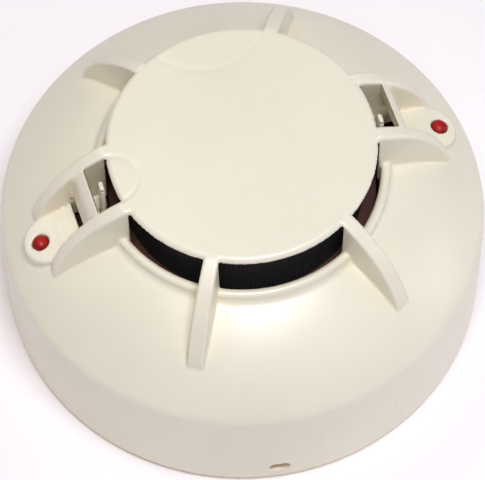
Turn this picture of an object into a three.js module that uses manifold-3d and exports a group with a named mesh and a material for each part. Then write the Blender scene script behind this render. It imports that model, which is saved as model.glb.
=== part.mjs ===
// Ceiling heat detector: a plug-in head on a twist-lock mounting base.
// Millimetres. +Z points out of the ceiling, so z = 0 is the face that meets the ceiling
// and the sensing end is at the top. The two indicator arms lie along +X and -X.

import * as THREE from 'three';
import { mergeVertices } from 'three/addons/utils/BufferGeometryUtils.js';
import Module from 'manifold-3d';

const wasm = await Module();
wasm.setup();

// ---- Driving dimensions -------------------------------------------------------------------

const OUTER_R = 50;             // skirt, at its rim
const TOTAL_H = 53;             // ceiling face to the top of the cap
const WALL = 2.2;               // thickness of the front housing
const RING_SEGMENTS = 60;       // facets round the front housing
const INNER_SEGMENTS = 48;      // facets round the large pieces inside it
const SMALL_SEGMENTS = 16;      // facets round small round details
const GAP = 0.3;                // clearance between neighbouring pieces

// Front housing, outside
const SKIRT_Z0 = 0.6;           // skirt rim, just clear of the ceiling
const SKIRT_TOP_Z = 25.2;       // where the straight wall ends
const SKIRT_TOP_R = 49.85;
const SHOULDER_R = 4.5;         // radius of the rounded shoulder
const SHOULDER_TURN = 40;       // degrees of the shoulder arc
const DOME_TOP_R = 31;          // where the dome meets the lip's valley
const DOME_TOP_Z = 40.6;
const LIP_INNER_R = 27.9;
const LIP_OUTER_R = 29.9;
const LIP_TOP_Z = 43;
const VALLEY_R = 1.2;           // hollow between the lip and the dome
const COLLAR_Z0 = 36.8;         // lower end of the lip's collar, inside
const CAP_R = 27.15;            // cap over the sensing slot
const CAP_T = 2;
const CAP_EDGE = 1.2;           // rounding of the cap's rim
const CAP_CROWN = 0.7;          // rise of the cap's middle over its rim

// Fins and arm ribs share one outline: an arc from the cap's rim down to the dome
const FIN_R0 = 27;
const FIN_R1 = 42.3;
const FIN_TOP_Z = 52.2;         // crest, where it leaves the cap
const FIN_END_Z = 35.1;         // crest at the blunt foot, just above the dome
const FIN_SAGITTA = 2.9;
const FIN_INNER_R = 27.4;
const FIN_T = 3.1;
const FIN_ANGLES = [59, 121, 239, 301];
const ARM_ANGLES = [0, 180];
const ARM_HALF = 5.15;          // half the clear width between an arm's ribs
const RIB_T = 3.2;
const WINDOW_R1 = 31.2;         // thermistor window, from the cap's rim to here
const BRIDGE_R1 = 33.6;         // slanted bridge between the ribs, open underneath
const BRIDGE_TOP_Z = 50.2;
const BRIDGE_LOW_Z = 45.6;
const BRIDGE_T = 3.3;           // its thickness, measured upright
const SLIT_R1 = 34.7;           // narrow slit between the bridge and the lamp pad
const LEDGE_Z = 38;             // ledge that each thermistor stands through
const LEDGE_R1 = 30.2;
const WELL_Z = 35.8;            // lower end of the walls round the window
const WELL_T = 1.1;
const PAD_END_R = 46.1;
const PAD_Z_AT_LAMP = 35.5;
const PAD_SLOPE = 0.33;         // fall of the pad per millimetre outwards
const PAD_T = 2.2;
const LAMP_R = 42.7;            // distance of the lamps from the axis
const LAMP_HOLE = 1.8;
const LAMP_ROOM = 2.9;          // pocket under the pad for the lamp's flange and spacer
const LAMP_ROOM_Z = 31.2;

// Twist lock
const TWIST = 18;               // degrees from locked to released
const LUG_ANGLES = [37, 157, 277];
const LUG_HALF = 8;             // half a lug's width, in degrees
const LUG_R = 43.1;
const LUG_Z0 = 4.6;
const LUG_Z1 = 6.6;
const FLANGE_R = 45.2;
const BASE_RING_R0 = 40.5;
const BASE_RING_R1 = 42.5;
const BASE_RING_Z = 9;
const BASE_FLOOR = 2.4;
const BASE_R = 45.2;
const RELEASE_ANGLE = 260.4;    // hole in the skirt over the lock finger's tip
const RELEASE_Z = 5;
const MARK_ANGLE = 270.8;       // raised line on the skirt that meets the one on the base
const MARK_Z0 = 7.5;
const MARK_Z1 = 18;
const MARK_PROUD = 0.12;

// Rear cover and circuit board
const COVER_Z0 = 10.6;
const COVER_Z1 = 12.5;
const COVER_RIM_R0 = 46;
const COVER_RIM_R1 = 47.3;
const COVER_RIM_Z = 3.6;
const BOSS_R = 42.5;
const BOSS_ANGLES = [94, 214, 334];
const BOARD_Z0 = 18;
const BOARD_Z1 = 19.6;
const BOARD_R = 45.4;
const POST_R = 34;
const POST_ANGLES = [22, 158, 270];

// Contacts
const CONTACT_ANGLES = [45, 135, 225, 315];
const TERMINAL_R = 26;          // terminal screws' circle
const WIPER_R = 33.2;           // where the head's blades touch the base's plates
const FIXING_HALF = 30;         // fixing slots are 60 mm apart
const FIXING_LENGTH = 9;
const FIXING_W = 4.6;
const CABLE_HOLE_R = 11;

// Sensing chamber
const PEDESTAL_R = 27.3;
const CHAMBER_FLOOR_Z = 35.5;
const SCREEN_R0 = 24;
const SCREEN_R1 = 24.7;
const SCREEN_Z1 = 49.1;
const SCREEN_OPENINGS = 24;
const VANES = 15;
const VANE_R = 18.8;
const VANE_TURN = 38;           // degrees that a vane leans from the radius
const EMITTER_ANGLE = 204;
const RECEIVER_ANGLE = 336;
const OPTIC_Z = 42;
const THERMISTOR_R = 28.9;
const THERMISTOR_Y = -1.4;

// ---- Materials ----------------------------------------------------------------------------

function plastic(color, roughness) {
  return new THREE.MeshStandardMaterial({ color, roughness, metalness: 0 });
}

function metal(color, roughness) {
  return new THREE.MeshStandardMaterial({ color, roughness, metalness: 1 });
}

const IVORY = plastic(0xede9d8, 0.45);
const BASE_IVORY = plastic(0xe6e1d0, 0.5);
const BLACK = plastic(0x17171a, 0.6);
const BOARD_BROWN = plastic(0x995945, 0.55);
const DARK_BROWN = plastic(0x5c3830, 0.6);
const CHIP_BLACK = plastic(0x202022, 0.5);
const RED_LENS = plastic(0xbc3136, 0.2);
const CREAM_SLEEVE = plastic(0xefe6cf, 0.55);
const CLEAR_BLUE = plastic(0x3c4668, 0.2);
const CAN_BLUE = plastic(0x2b3a66, 0.4);
const BRASS = metal(0xb9974e, 0.35);
const NICKEL = metal(0xb9b6ac, 0.3);
const STEEL = metal(0xa8a9ab, 0.35);

// ---- Geometry helpers ---------------------------------------------------------------------

const radians = THREE.MathUtils.degToRad;

function toSolid(geometry) {
  const bare = geometry.index ? geometry.toNonIndexed() : geometry.clone();
  bare.deleteAttribute('normal');
  bare.deleteAttribute('uv');
  const welded = mergeVertices(bare, 1e-4);
  return new wasm.Manifold(new wasm.Mesh({
    numProp: 3,
    vertProperties: new Float32Array(welded.attributes.position.array),
    triVerts: new Uint32Array(welded.index.array),
  }));
}

function toGeometry(solid) {
  const mesh = solid.getMesh();
  const geometry = new THREE.BufferGeometry();
  geometry.setAttribute('position', new THREE.BufferAttribute(mesh.vertProperties, 3));
  geometry.setIndex(new THREE.BufferAttribute(mesh.triVerts, 1));
  geometry.computeVertexNormals();
  return geometry;
}

function joined(solids) {
  return solids.reduce((sum, solid) => sum.add(solid));
}

function placedAt(solid, angle, radius = 0, z = 0) {
  const turn = radians(angle);
  return solid.rotate([0, 0, angle]).translate([radius * Math.cos(turn), radius * Math.sin(turn), z]);
}

// A point list [[r, z], ...] spun round the Z axis. It starts and ends on the axis, or closes.
function turned(points, segments = RING_SEGMENTS) {
  const profile = points.map(([r, z]) => new THREE.Vector2(r, z));
  return toSolid(new THREE.LatheGeometry(profile, segments).rotateX(Math.PI / 2));
}

function ring(r0, r1, z0, z1, segments = RING_SEGMENTS) {
  return turned([[r0, z0], [r1, z0], [r1, z1], [r0, z1], [r0, z0]], segments);
}

function rod(radius, z0, z1, segments = SMALL_SEGMENTS, x = 0, y = 0) {
  const height = z1 - z0;
  const geometry = new THREE.CylinderGeometry(radius, radius, height, segments).rotateX(Math.PI / 2);
  return toSolid(geometry.translate(x, y, z0 + height / 2));
}

function cone(r0, r1, z0, z1, segments = SMALL_SEGMENTS) {
  return turned([[0, z0], [r0, z0], [r1, z1], [0, z1]], segments);
}

function block(x0, x1, y0, y1, z0, z1) {
  const geometry = new THREE.BoxGeometry(x1 - x0, y1 - y0, z1 - z0);
  return toSolid(geometry.translate((x0 + x1) / 2, (y0 + y1) / 2, (z0 + z1) / 2));
}

// An outline drawn in plan and raised from z0 to z1.
function raised(points, z0, z1) {
  const shape = new THREE.Shape(points.map(([x, y]) => new THREE.Vector2(x, y)));
  const geometry = new THREE.ExtrudeGeometry(shape, { depth: z1 - z0, bevelEnabled: false });
  return toSolid(geometry.translate(0, 0, z0));
}

// An outline drawn in the X-Z plane and given a width along Y, from y0 to y1.
function upright(points, y0, y1) {
  const shape = new THREE.Shape(points.map(([x, z]) => new THREE.Vector2(x, z)));
  const geometry = new THREE.ExtrudeGeometry(shape, { depth: y1 - y0, bevelEnabled: false });
  return toSolid(geometry.rotateX(Math.PI / 2).translate(0, y1, 0));
}

// Points on an arc in degrees, ends included.
function arc(cx, cy, radius, from, to, steps) {
  return Array.from({ length: steps + 1 }, (_, i) => {
    const a = radians(from + ((to - from) * i) / steps);
    return [cx + radius * Math.cos(a), cy + radius * Math.sin(a)];
  });
}

// The arc from one point to another that bulges by sagitta to the left of the way there.
function bulge([x0, y0], [x1, y1], sagitta, steps) {
  const chord = Math.hypot(x1 - x0, y1 - y0);
  const radius = (chord * chord) / (8 * sagitta) + sagitta / 2;
  const [nx, ny] = [-(y1 - y0) / chord, (x1 - x0) / chord];
  const cx = (x0 + x1) / 2 + nx * (sagitta - radius);
  const cy = (y0 + y1) / 2 + ny * (sagitta - radius);
  const start = Math.atan2(y0 - cy, x0 - cx);
  let sweep = Math.atan2(y1 - cy, x1 - cx) - start;
  sweep = Math.atan2(Math.sin(sweep), Math.cos(sweep));
  return Array.from({ length: steps + 1 }, (_, i) => {
    const a = start + (sweep * i) / steps;
    return [cx + radius * Math.cos(a), cy + radius * Math.sin(a)];
  });
}

// A sector of a ring between two angles, in degrees.
function sector(r0, r1, from, to, z0, z1) {
  const steps = Math.max(2, Math.round((to - from) / 5));
  const outline = [...arc(0, 0, r1, from, to, steps), ...arc(0, 0, r0, to, from, steps)];
  return raised(outline, z0, z1);
}

// A slot with round ends along X, given its centre, overall length and half width.
function slot(x, y, length, half, z0, z1) {
  const reach = length / 2 - half;
  return raised([...arc(x + reach, y, half, -90, 90, 8), ...arc(x - reach, y, half, 90, 270, 8)], z0, z1);
}

const detector = new THREE.Group();
const base = new THREE.Group();
const head = new THREE.Group();
detector.add(base, head);

function addPart(group, name, solid, material) {
  const mesh = new THREE.Mesh(toGeometry(solid), material);
  mesh.name = name;
  group.add(mesh);
}

// ---- Front housing ------------------------------------------------------------------------

// Shoulder arc, then the dome's arc that leaves it without a kink, both set in by inset.
function domeOutline(inset, shoulderSteps, domeSteps) {
  const cx = SKIRT_TOP_R - SHOULDER_R;
  const shoulder = arc(cx, SKIRT_TOP_Z, SHOULDER_R - inset, 0, SHOULDER_TURN, shoulderSteps);
  const sx = cx + SHOULDER_R * Math.cos(radians(SHOULDER_TURN));
  const sz = SKIRT_TOP_Z + SHOULDER_R * Math.sin(radians(SHOULDER_TURN));
  const chord = Math.hypot(DOME_TOP_R - sx, DOME_TOP_Z - sz);
  const chordFall = THREE.MathUtils.radToDeg(Math.atan2(DOME_TOP_Z - sz, sx - DOME_TOP_R));
  const halfTurn = 90 - SHOULDER_TURN - chordFall;
  const radius = chord / 2 / Math.sin(radians(halfTurn));
  const ox = sx - radius * Math.cos(radians(SHOULDER_TURN));
  const oz = sz - radius * Math.sin(radians(SHOULDER_TURN));
  const dome = arc(ox, oz, radius - inset, SHOULDER_TURN, SHOULDER_TURN + 2 * halfTurn, domeSteps);
  return [...shoulder, ...dome.slice(1)];
}

function housingShell() {
  const lipMid = (LIP_INNER_R + LIP_OUTER_R) / 2;
  const lipHalf = (LIP_OUTER_R - LIP_INNER_R) / 2;
  const lip = arc(lipMid, LIP_TOP_Z - lipHalf, lipHalf, 0, 180, 4);
  const inside = domeOutline(WALL, 2, 3).reverse();
  return turned([
    [OUTER_R - WALL, SKIRT_Z0], [OUTER_R - 0.8, SKIRT_Z0], [OUTER_R, SKIRT_Z0 + 0.8],
    ...domeOutline(0, 3, 6),
    ...arc(LIP_OUTER_R + VALLEY_R, LIP_TOP_Z - 1.1, VALLEY_R, 250, 180, 3),
    ...lip,
    [LIP_INNER_R, COLLAR_Z0], [LIP_OUTER_R + 0.1, COLLAR_Z0],
    ...inside,
    [OUTER_R - WALL, SKIRT_Z0],
  ]);
}

function capDisc() {
  const flat = CAP_R - CAP_EDGE;
  const edge = arc(flat, TOTAL_H - CAP_CROWN - CAP_EDGE, CAP_EDGE, 0, 90, 4);
  const crown = [0.75, 0.5, 0.25].map((part) => [flat * part, TOTAL_H - CAP_CROWN * part * part]);
  return turned([[0, TOTAL_H - CAP_T], [CAP_R, TOTAL_H - CAP_T], ...edge, ...crown, [0, TOTAL_H]]);
}

// The side view shared by fins and ribs, from under the cap out to the dome.
function finOutline() {
  const crest = bulge([FIN_R0, FIN_TOP_Z], [FIN_R1, FIN_END_Z], FIN_SAGITTA, 10);
  return [
    [FIN_R0 - 2.5, TOTAL_H - CAP_T], [FIN_INNER_R, TOTAL_H - CAP_T],
    [FIN_INNER_R, COLLAR_Z0 + 0.6], [FIN_R1 - 4, 33.4], [FIN_R1, 32.2],
    ...crest.reverse(), [FIN_R0 - 2.5, FIN_TOP_Z],
  ];
}

function padTopZ(r) {
  return PAD_Z_AT_LAMP - PAD_SLOPE * (r - LAMP_R);
}

// Everything inside an arm's round-ended outline between two surfaces parallel to the pad.
function padLayer(r0, low, high) {
  const endCentre = PAD_END_R - ARM_HALF;
  const plan = raised([[r0, -ARM_HALF], ...arc(endCentre, 0, ARM_HALF, -90, 90, 12), [r0, ARM_HALF]], 20, 60);
  const side = upright([
    [r0 - 1, padTopZ(r0 - 1) + low], [PAD_END_R + 1, padTopZ(PAD_END_R + 1) + low],
    [PAD_END_R + 1, padTopZ(PAD_END_R + 1) + high], [r0 - 1, padTopZ(r0 - 1) + high],
  ], -ARM_HALF - 1, ARM_HALF + 1);
  return plan.intersect(side);
}

function frontHousing() {
  const wellHalf = ARM_HALF + WELL_T;
  const wellWalls = block(LIP_INNER_R, SLIT_R1 + WELL_T, -wellHalf, wellHalf, WELL_Z, LEDGE_Z);
  let solid = housingShell();
  for (const angle of ARM_ANGLES) {
    solid = solid.add(placedAt(wellWalls, angle));
  }
  const ribSolid = upright(finOutline(), ARM_HALF, ARM_HALF + RIB_T);
  const mirrored = upright(finOutline(), -ARM_HALF - RIB_T, -ARM_HALF);
  const underCap = rod(FIN_INNER_R, COLLAR_Z0 - 1, TOTAL_H - CAP_T, RING_SEGMENTS);
  const ribs = ribSolid.add(mirrored).subtract(underCap);
  const bridge = upright([
    [WINDOW_R1, BRIDGE_TOP_Z - BRIDGE_T], [BRIDGE_R1, BRIDGE_LOW_Z - BRIDGE_T], [BRIDGE_R1, BRIDGE_LOW_Z],
    ...bulge([WINDOW_R1, BRIDGE_TOP_Z], [BRIDGE_R1, BRIDGE_LOW_Z], 0.6, 4).reverse().slice(1),
  ], -ARM_HALF - 0.5, ARM_HALF + 0.5);
  const window = block(FIN_INNER_R - 1.5, SLIT_R1, -ARM_HALF, ARM_HALF, LEDGE_Z, 46);
  const well = block(LEDGE_R1, SLIT_R1, -ARM_HALF, ARM_HALF, 30, 46);
  const hole = slot(0, 0, 2.7, 0.7, 30, 46).rotate([0, 0, 90]);
  const sleeveHole = hole.translate([THERMISTOR_R, THERMISTOR_Y, 0]);
  for (const angle of ARM_ANGLES) {
    const cuts = joined([window, well, sleeveHole, padLayer(BRIDGE_R1, 0, 8)]);
    solid = solid.subtract(placedAt(cuts, angle));
  }
  for (const angle of ARM_ANGLES) {
    const lampHole = rod(LAMP_HOLE, 28, 40, SMALL_SEGMENTS, LAMP_R, 0);
    const flangeRoom = rod(LAMP_ROOM, 26, LAMP_ROOM_Z, SMALL_SEGMENTS, LAMP_R, 0);
    const pad = padLayer(SLIT_R1, -PAD_T, 0);
    const arm = joined([ribs, bridge, pad]).subtract(lampHole);
    solid = solid.subtract(placedAt(lampHole.add(flangeRoom), angle)).add(placedAt(arm, angle));
  }
  const fin = upright(finOutline(), -FIN_T / 2, FIN_T / 2);
  for (const angle of FIN_ANGLES) {
    solid = solid.add(placedAt(fin, angle));
  }
  solid = solid.add(capDisc());
  for (const angle of BOSS_ANGLES) {
    const boss = rod(2.8, COVER_Z1 + GAP, 30.2).subtract(rod(1.35, COVER_Z1, 26));
    solid = solid.add(placedAt(boss, angle, BOSS_R));
  }
  const release = slot(0, 0, 4.2, 1.3, 40, 60).rotate([90, 0, 90]).translate([0, 0, RELEASE_Z]);
  const mark = block(OUTER_R - 0.8, OUTER_R + MARK_PROUD, -0.5, 0.5, MARK_Z0, MARK_Z1);
  return solid.subtract(placedAt(release, RELEASE_ANGLE)).add(placedAt(mark, MARK_ANGLE));
}

addPart(head, 'front_housing', frontHousing(), IVORY);

// ---- Rear cover and its fasteners -----------------------------------------------------------

const BLADE_T = 0.6;
const BLADE_W = 3.2;
const BLADE_TAB = 3;            // distance of a blade's tab from its middle, along its arc

function bladeSlots(z0, z1) {
  const half = BLADE_W / 2 + GAP;
  const hole = block(-half, half, BLADE_TAB - GAP, BLADE_TAB + BLADE_T + GAP, z0, z1);
  return joined(CONTACT_ANGLES.map((angle) => placedAt(hole, angle, WIPER_R)));
}

function rearCover() {
  let solid = turned([
    [0, COVER_Z0], [COVER_RIM_R0, COVER_Z0], [COVER_RIM_R0, COVER_RIM_Z], [COVER_RIM_R1, COVER_RIM_Z],
    [COVER_RIM_R1, COVER_Z1], [0, COVER_Z1],
  ], INNER_SEGMENTS);
  for (const angle of LUG_ANGLES) {
    const lug = sector(LUG_R, COVER_RIM_R0 + 0.3, angle - LUG_HALF, angle + LUG_HALF, LUG_Z0, LUG_Z1);
    solid = solid.add(lug);
  }
  for (const angle of BOSS_ANGLES) {
    const sink = cone(3, 1.6, COVER_Z0 - 0.1, COVER_Z0 + 1.6).add(rod(1.6, COVER_Z0, COVER_Z1 + 1));
    solid = solid.subtract(placedAt(sink, angle, BOSS_R));
  }
  for (const angle of POST_ANGLES) {
    const post = rod(2.3, COVER_Z1 - 0.5, BOARD_Z0 - 0.1).subtract(rod(1.1, COVER_Z1 + 0.6, BOARD_Z0));
    solid = solid.add(placedAt(post, angle, POST_R));
  }
  const release = block(COVER_RIM_R0 - 1, COVER_RIM_R1 + 1, -2.4, 2.4, COVER_RIM_Z - 1, RELEASE_Z + 1.6);
  return solid.subtract(bladeSlots(COVER_Z0 - 1, COVER_Z1 + 1)).subtract(placedAt(release, RELEASE_ANGLE));
}

const COVER_SCREW_TIP_Z = 23;

function coverScrew() {
  const driveSlot = block(-2, 2, -0.35, 0.35, COVER_Z0 - 1, COVER_Z0 + 0.8);
  const flatHead = cone(2.6, 1.15, COVER_Z0 + 0.1, COVER_Z0 + 1.7).subtract(driveSlot);
  return flatHead.add(rod(1.15, COVER_Z0 + 1.6, COVER_SCREW_TIP_Z));
}

function boardScrew() {
  const driveSlot = block(-1.5, 1.5, -0.25, 0.25, BOARD_Z1 + 1, BOARD_Z1 + 3);
  const panHead = cone(2.1, 1.6, BOARD_Z1 + 0.1, BOARD_Z1 + 1.6).subtract(driveSlot);
  return panHead.add(rod(0.85, COVER_Z1 + 1, BOARD_Z1 + 0.2, 12));
}

addPart(head, 'rear_cover', rearCover(), IVORY);
BOSS_ANGLES.forEach((angle, i) => {
  addPart(head, `cover_screw_${i + 1}`, placedAt(coverScrew(), angle, BOSS_R), STEEL);
});
POST_ANGLES.forEach((angle, i) => {
  addPart(head, `board_screw_${i + 1}`, placedAt(boardScrew(), angle, POST_R), STEEL);
});

// ---- Circuit board and its components -------------------------------------------------------

const LEAD = 0.25;              // half the side of a component lead
const LAMP_PITCH = 1.27;        // half the distance between a lamp's two leads
const LAMP_BODY_R = 1.65;
const LAMP_FLANGE_R = 1.95;
const LAMP_Z0 = 30;
const LAMP_TOP_Z = 36.1;
const LAMP_DOME = 0.9;          // height of its shallow dome
const BEAD_Z0 = 47.6;           // foot of the thermistor's bead, above its sleeve
const EMITTER_R = 21.6;         // where the optical parts' leads go down through the board

function leadPair(halfPitch, z0, z1, x = 0, half = LEAD) {
  const lead = (y) => block(x - half, x + half, y - half, y + half, z0, z1);
  return lead(halfPitch).add(lead(-halfPitch));
}

function circuitBoard() {
  let solid = rod(BOARD_R, BOARD_Z0, BOARD_Z1, INNER_SEGMENTS).subtract(bladeSlots(BOARD_Z0 - 1, BOARD_Z1 + 1));
  for (const angle of BOSS_ANGLES) {
    solid = solid.subtract(placedAt(rod(3.3, BOARD_Z0 - 1, BOARD_Z1 + 1), angle, BOSS_R));
  }
  for (const angle of POST_ANGLES) {
    solid = solid.subtract(placedAt(rod(1.3, BOARD_Z0 - 1, BOARD_Z1 + 1), angle, POST_R));
  }
  return solid;
}

function indicatorLamp() {
  const domeR = (LAMP_BODY_R ** 2 + LAMP_DOME ** 2) / (2 * LAMP_DOME);
  const edge = THREE.MathUtils.radToDeg(Math.acos(LAMP_BODY_R / domeR));
  const dome = arc(0, LAMP_TOP_Z - domeR, domeR, edge, 90, 4);
  const lens = turned([
    [0, LAMP_Z0], [LAMP_FLANGE_R, LAMP_Z0], [LAMP_FLANGE_R, LAMP_Z0 + 0.9], [LAMP_BODY_R, LAMP_Z0 + 0.9],
    ...dome.slice(0, -1), [0, LAMP_TOP_Z],
  ], SMALL_SEGMENTS);
  return lens.add(leadPair(LAMP_PITCH, BOARD_Z1 + 0.1, LAMP_Z0 + 0.2));
}

function lampSpacer() {
  const bore = block(-0.55, 0.55, -LAMP_PITCH - 0.6, LAMP_PITCH + 0.6, BOARD_Z1, LAMP_Z0 + 1);
  return rod(LAMP_ROOM - 0.4, BOARD_Z1 + 0.2, LAMP_Z0 - 0.2).subtract(bore);
}

function thermistor() {
  const bead = slot(0, 0, 2.1, 0.45, BEAD_Z0, BEAD_Z0 + 0.7).rotate([0, 0, 90]);
  return bead.add(leadPair(0.55, BOARD_Z1 + 0.1, BEAD_Z0 + 0.3, 0, 0.19));
}

function thermistorSleeve() {
  const bore = block(-0.3, 0.3, -0.85, 0.85, BOARD_Z1, BEAD_Z0 + 0.2);
  const body = slot(0, 0, 2.3, 0.5, BOARD_Z1 + 0.2, BEAD_Z0 - 0.2).rotate([0, 0, 90]);
  return body.subtract(bore);
}

function chip(halfX, halfY, legs) {
  const body = block(-halfX, halfX, -halfY, halfY, BOARD_Z1 + 0.3, BOARD_Z1 + 1.9);
  const pitch = (2 * halfX - 1) / (legs - 1);
  const feet = Array.from({ length: legs }, (_, i) => {
    const x = -halfX + 0.5 + pitch * i;
    return block(x - 0.2, x + 0.2, -halfY - 1, halfY + 1, BOARD_Z1 + 0.1, BOARD_Z1 + 0.5);
  });
  return joined([body, ...feet]);
}

function canCapacitor(radius, height) {
  const z0 = BOARD_Z1 + 0.2;
  return turned([[0, z0], [radius, z0], [radius, z0 + 1], [radius - 0.3, z0 + 1.4], [radius, z0 + 1.8],
    [radius, z0 + height - 0.4], [radius - 0.4, z0 + height], [0, z0 + height]], 24);
}

addPart(head, 'circuit_board', circuitBoard(), BOARD_BROWN);
ARM_ANGLES.forEach((angle, i) => {
  const aside = (solid) => placedAt(solid.translate([THERMISTOR_R, THERMISTOR_Y, 0]), angle);
  addPart(head, `indicator_lamp_${i + 1}`, placedAt(indicatorLamp(), angle, LAMP_R), RED_LENS);
  addPart(head, `lamp_spacer_${i + 1}`, placedAt(lampSpacer(), angle, LAMP_R), BLACK);
  addPart(head, `thermistor_${i + 1}`, aside(thermistor()), CREAM_SLEEVE);
  addPart(head, `thermistor_sleeve_${i + 1}`, aside(thermistorSleeve()), CREAM_SLEEVE);
});
addPart(head, 'controller_chip', chip(6, 3.8, 8).translate([-6, 4, 0]), CHIP_BLACK);
addPart(head, 'regulator_chip', chip(3, 2, 4).translate([9, -6, 0]), CHIP_BLACK);
addPart(head, 'capacitor_1', placedAt(canCapacitor(4, 11), 75, 36), CAN_BLUE);
addPart(head, 'capacitor_2', placedAt(canCapacitor(2.6, 7), 107, 36), CAN_BLUE);

// ---- Sensing chamber ------------------------------------------------------------------------

function apart(a, b) {
  return Math.abs(((a - b + 540) % 360) - 180);
}

const opticAngles = [EMITTER_ANGLE, RECEIVER_ANGLE];

function chamberBase() {
  let solid = turned([
    [0, CHAMBER_FLOOR_Z - 1.7], [PEDESTAL_R - 1.5, CHAMBER_FLOOR_Z - 1.7],
    [PEDESTAL_R - 1.5, BOARD_Z1 + 0.2], [PEDESTAL_R, BOARD_Z1 + 0.2],
    [PEDESTAL_R, CHAMBER_FLOOR_Z], [0, CHAMBER_FLOOR_Z],
  ], INNER_SEGMENTS);
  const vane = block(-3.6, 3.6, -0.6, 0.6, CHAMBER_FLOOR_Z - 0.5, SCREEN_Z1 - 2.6).rotate([0, 0, VANE_TURN]);
  for (let i = 0; i < VANES; i += 1) {
    const angle = (360 * i) / VANES;
    if (opticAngles.every((taken) => apart(angle, taken) > 20)) {
      solid = solid.add(placedAt(vane, angle, VANE_R));
    }
  }
  const leadHole = block(-1, 1, -2, 2, CHAMBER_FLOOR_Z - 3, CHAMBER_FLOOR_Z + 1);
  for (const angle of opticAngles) {
    solid = solid.subtract(placedAt(leadHole, angle, EMITTER_R));
  }
  return solid;
}

function insectScreen() {
  const z0 = CHAMBER_FLOOR_Z + 0.2;
  let solid = ring(SCREEN_R0, SCREEN_R1, z0, SCREEN_Z1, INNER_SEGMENTS);
  const opening = block(SCREEN_R0 - 1, SCREEN_R1 + 1, -2.1, 2.1, z0 + 1.2, SCREEN_Z1 - 1.2);
  const step = 360 / SCREEN_OPENINGS;
  const openings = Array.from({ length: SCREEN_OPENINGS }, (_, i) => placedAt(opening, (i + 0.5) * step));
  return solid.subtract(joined(openings));
}

function chamberCover() {
  const z0 = SCREEN_Z1 + 0.2;
  const top = TOTAL_H - CAP_T - 0.3;
  return turned([[0, z0], [SCREEN_R0 - 1.6, z0], [SCREEN_R0 - 1.6, z0 - 2], [SCREEN_R0 - 0.4, z0 - 2],
    [SCREEN_R0 - 0.4, z0], [SCREEN_R1 + 0.3, z0], [SCREEN_R1 + 0.3, top - 0.4], [SCREEN_R1 - 0.1, top],
    [0, top]], INNER_SEGMENTS);
}

// A round-nosed optical part that lies along X, looks towards -X and stands on its own leads.
function opticPart(bodyR, length) {
  const nose = arc(0, length - bodyR, bodyR, 0, 90, 4);
  const body = turned([[0, 0], [bodyR + 0.4, 0], [bodyR + 0.4, 1], [bodyR, 1], ...nose], SMALL_SEGMENTS);
  const lying = body.rotate([0, -90, 0]).translate([EMITTER_R - 0.4, 0, OPTIC_Z]);
  const legs = leadPair(LAMP_PITCH, BOARD_Z1 + 0.1, OPTIC_Z + LEAD, EMITTER_R);
  const bends = [LAMP_PITCH, -LAMP_PITCH].map((y) => block(
    EMITTER_R - 1, EMITTER_R + LEAD, y - LEAD, y + LEAD, OPTIC_Z - LEAD, OPTIC_Z + LEAD,
  ));
  return joined([lying, legs, ...bends]);
}

addPart(head, 'chamber_base', chamberBase(), DARK_BROWN);
addPart(head, 'insect_screen', insectScreen(), BLACK);
addPart(head, 'chamber_cover', chamberCover(), BLACK);
addPart(head, 'infrared_emitter', placedAt(opticPart(2.4, 8), EMITTER_ANGLE), CLEAR_BLUE);
addPart(head, 'light_receiver', placedAt(opticPart(2.4, 7), RECEIVER_ANGLE), CHIP_BLACK);

// ---- Contacts between head and base ---------------------------------------------------------

const WIPER_Z = 8.4;            // top of the base's sprung contact plates
const PLATE_T = 0.8;
const STAND_Z = 5;              // top of the base's terminal stands
const TERMINAL_HOLE = 1.8;

// The blade hangs under the rear cover, drawn along its arc, with a tab up to the board.
function contactBlade() {
  const low = WIPER_Z + GAP;
  const high = COVER_Z0 - 0.1;
  const strip = [
    [-6, high - BLADE_T], [-3.2, high - BLADE_T], [-1.3, low], [1.3, low], [BLADE_TAB + BLADE_T, high - 0.9],
    [BLADE_TAB + BLADE_T, BOARD_Z1 + 1.2], [BLADE_TAB, BOARD_Z1 + 1.2], [BLADE_TAB, high - 0.7],
    [1, low + BLADE_T], [-1, low + BLADE_T], [-2.9, high], [-6, high],
  ];
  return upright(strip, -BLADE_W / 2, BLADE_W / 2).rotate([0, 0, 90]);
}

// The plate lies on its stand, drawn outwards along X, with a raised spring end.
function terminalPlate() {
  const low = STAND_Z + 0.1;
  const side = [
    [-4, low], [4, low], [5.6, WIPER_Z - PLATE_T], [9.4, WIPER_Z - PLATE_T], [10, WIPER_Z - PLATE_T - 0.6],
    [10.6, WIPER_Z - PLATE_T - 0.1], [9.9, WIPER_Z], [5.2, WIPER_Z], [3.7, low + PLATE_T], [-4, low + PLATE_T],
  ];
  return upright(side, -4, 4).subtract(rod(TERMINAL_HOLE, 0, 12));
}

function clampWasher() {
  const z0 = STAND_Z + PLATE_T + 0.2;
  return block(-3.6, 3.6, -3.6, 3.6, z0, z0 + 0.8).subtract(rod(TERMINAL_HOLE, 0, 12));
}

function terminalScrew() {
  const z0 = STAND_Z + PLATE_T + 1.1;
  const bar = block(-3, 3, -0.4, 0.4, z0 + 1, z0 + 3);
  const cross = bar.add(bar.rotate([0, 0, 90]));
  const panHead = turned([[0, z0], [2.8, z0], [2.8, z0 + 1.3], [2.2, z0 + 2], [0, z0 + 2]], SMALL_SEGMENTS);
  return panHead.subtract(cross).add(rod(1.4, 1.2, z0 + 0.2));
}

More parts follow.
